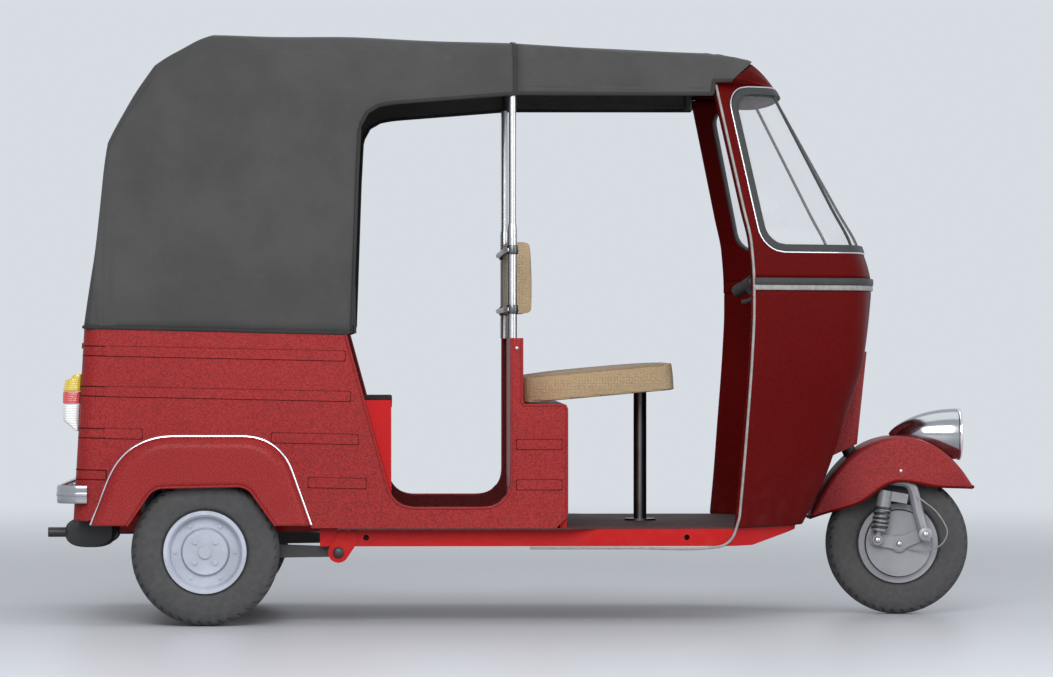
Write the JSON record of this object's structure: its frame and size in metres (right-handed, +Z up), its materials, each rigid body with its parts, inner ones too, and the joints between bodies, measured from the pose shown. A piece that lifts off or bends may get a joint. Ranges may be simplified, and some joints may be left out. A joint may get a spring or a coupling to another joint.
{
  "type": "auto rickshaw",
  "caption": "Three-wheeled auto rickshaw with an open-sided cabin under a dark fabric canopy, red panels, a steered front wheel and a rear engine.",
  "frame": {"origin": "on the ground, under the middle of the vehicle's box", "axes": "+X forwards along the vehicle, +Y to its left, +Z up"},
  "size_m": [2.6766, 1.3, 1.687],
  "materials": {
    "chassis_red": "gloss paint",
    "panel_red": "satin paint with fine grain",
    "cowl_red": "deep gloss paint",
    "canopy_cloth": "coated canvas",
    "clear_sheet": "clear sheet",
    "tyre_black": "ribbed rubber",
    "rim_silver": "silver paint",
    "seat_tan": "coated seat cloth",
    "screen_glass": "clear",
    "seal_grey": "moulded rubber",
    "bright_chrome": "polished",
    "black_metal": "satin black",
    "pole_steel": "dull steel",
    "mat_dark": "ribbed mat",
    "lamp_lens": "moulded lens",
    "engine_alloy": "cast",
    "trim_grey": "moulded trim",
    "dash_black": "grained"
  },
  "bodies": {
    "body": {"chassis_frame": "chassis_red", "floor_pan": "mat_dark", "side_panel_right": "panel_red", "side_panel_left": "panel_red", "rear_panel": "panel_red", "wheel_flares": "panel_red", "cowl_lower": "cowl_red", "belt_moulding": "trim_grey", "windscreen_frame": "cowl_red", "windscreen_seal": "seal_grey", "windscreen_glass": "screen_glass", "header_panel": "cowl_red", "column_cover": "cowl_red", "steering_head": "black_metal", "dashboard": "dash_black", "hood_canopy": "canopy_cloth", "rear_window": "clear_sheet", "roof_canopy": "canopy_cloth", "hood_bows": "pole_steel", "partition_frame": "pole_steel", "driver_bulkhead": "chassis_red", "driver_backrest": "seat_tan", "driver_cushion": "seat_tan", "seat_post": "black_metal", "rear_tub": "chassis_red", "passenger_cushion": "seat_tan", "passenger_backrest": "seat_tan", "engine_block": "engine_alloy", "silencer": "black_metal", "trailing_arms": "black_metal", "drive_shafts": "pole_steel", "rear_dampers": "black_metal", "rear_bumper": "bright_chrome", "tail_lamps": "lamp_lens"},
    "engine_lid": {"engine_lid": "panel_red"},
    "steering": {"fork_stem": "black_metal", "fork_leg": "black_metal", "trailing_link": "black_metal", "front_damper": "black_metal", "front_mudguard": "cowl_red", "headlamp_shell": "bright_chrome", "headlamp_lens": "screen_glass", "handlebar": "black_metal", "brake_cable": "dash_black"},
    "front_wheel": {"front_tyre": "tyre_black", "front_rim": "rim_silver"},
    "rear_wheel_right": {"rear_tyre_right": "tyre_black", "rear_rim_right": "rim_silver"},
    "rear_wheel_left": {"rear_tyre_left": "tyre_black", "rear_rim_left": "rim_silver"}
  },
  "joints": [
    {"name": "steering_turn", "type": "hinge", "parent": "body", "child": "steering", "pos_m": [0.97723, 0, 0.48], "axis": [-0.4226, 0, 0.9063], "range_deg": [-45, 45]},
    {"name": "front_wheel_spin", "type": "hinge", "parent": "steering", "child": "front_wheel", "pos_m": [1.11873, 0, 0.208], "axis": [0, 1, 0], "continuous": true},
    {"name": "rear_wheel_right_spin", "type": "hinge", "parent": "body", "child": "rear_wheel_right", "pos_m": [-0.88127, -0.57, 0.208], "axis": [0, 1, 0], "continuous": true},
    {"name": "rear_wheel_left_spin", "type": "hinge", "parent": "body", "child": "rear_wheel_left", "pos_m": [-0.88127, 0.57, 0.208], "axis": [0, 1, 0], "continuous": true},
    {"name": "engine_lid_hinge", "type": "hinge", "parent": "body", "child": "engine_lid", "pos_m": [-1.23387, 0, 0.78456], "axis": [0, 1, 0], "range_deg": [0, 75]}
  ]
}
